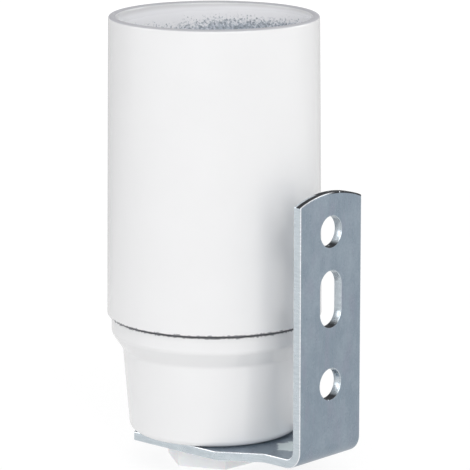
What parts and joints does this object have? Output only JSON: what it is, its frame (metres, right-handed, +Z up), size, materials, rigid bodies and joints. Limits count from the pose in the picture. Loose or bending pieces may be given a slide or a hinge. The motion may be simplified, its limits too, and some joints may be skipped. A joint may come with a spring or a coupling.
{
  "type": "batten lamp holder",
  "caption": "Small screw-cap lamp holder with a smooth white painted sleeve and tapered cap, clamped by a hollow nipple to a bent steel bracket with slotted wall holes.",
  "frame": {"origin": "centre of the cable bore's lower mouth, in the flat underside of the nipple's hexagon head", "axes": "+Z up the holder's axis towards the lamp, +X towards the wall that the bracket's leg is screwed to, +Y across the leg"},
  "size_m": [0.0339, 0.028, 0.0588],
  "materials": {
    "white_paint": "gloss",
    "zinc_plate": "satin",
    "white_nylon": "satin",
    "white_liner": "satin",
    "porcelain": "matt",
    "brass": "satin",
    "spring_bronze": "satin",
    "nickel_plate": "satin"
  },
  "bodies": {
    "bracket": {"bracket": "zinc_plate"},
    "nipple": {"nipple": "white_nylon"},
    "holder": {"cap": "white_paint", "hub": "zinc_plate"},
    "sleeve": {"sleeve": "white_paint"},
    "insert": {"insert_body": "porcelain", "thread_shell": "brass", "insulating_ring": "white_liner", "centre_contact": "spring_bronze", "rivet_centre": "brass", "rivet_neutral": "brass", "rivet_shell": "brass", "terminal_live": "brass", "terminal_neutral": "brass"},
    "contact_button": {"contact_button": "brass"},
    "live_screw": {"screw_live": "nickel_plate"},
    "neutral_screw": {"screw_neutral": "nickel_plate"},
    "earth_screw": {"screw_earth": "nickel_plate"}
  },
  "joints": [
    {"name": "nipple_turn", "type": "hinge", "parent": "bracket", "child": "nipple", "pos_m": [0, 0, 0.0031], "axis": [0, 0, 1], "continuous": true},
    {"name": "holder_swivel", "type": "hinge", "parent": "bracket", "child": "holder", "pos_m": [0, 0, 0.0043], "axis": [0, 0, 1], "continuous": true},
    {"name": "sleeve_lift", "type": "slide", "parent": "holder", "child": "sleeve", "axis": [0, 0, 1], "range_m": [0, 0.075]},
    {"name": "insert_lift", "type": "slide", "parent": "holder", "child": "insert", "axis": [0, 0, 1], "range_m": [0, 0.0375]},
    {"name": "contact_press", "type": "slide", "parent": "insert", "child": "contact_button", "axis": [0, 0, -1], "range_m": [0, 0.0008], "stiffness_N_per_m": 2500, "deforming": ["centre_contact"]},
    {"name": "live_screw_turn", "type": "hinge", "parent": "insert", "child": "live_screw", "pos_m": [0.0077, 0, 0.01835], "axis": [1, 0, 0], "continuous": true},
    {"name": "neutral_screw_turn", "type": "hinge", "parent": "insert", "child": "neutral_screw", "pos_m": [-0.0077, 0, 0.01835], "axis": [-1, 0, 0], "continuous": true},
    {"name": "earth_screw_turn", "type": "hinge", "parent": "holder", "child": "earth_screw", "pos_m": [0, 0.00805, 0.0084], "axis": [0, 0, 1], "continuous": true}
  ],
  "couplings": [
    {"joint": "insert_lift", "follows": "sleeve_lift", "ratio": 0.5}
  ]
}
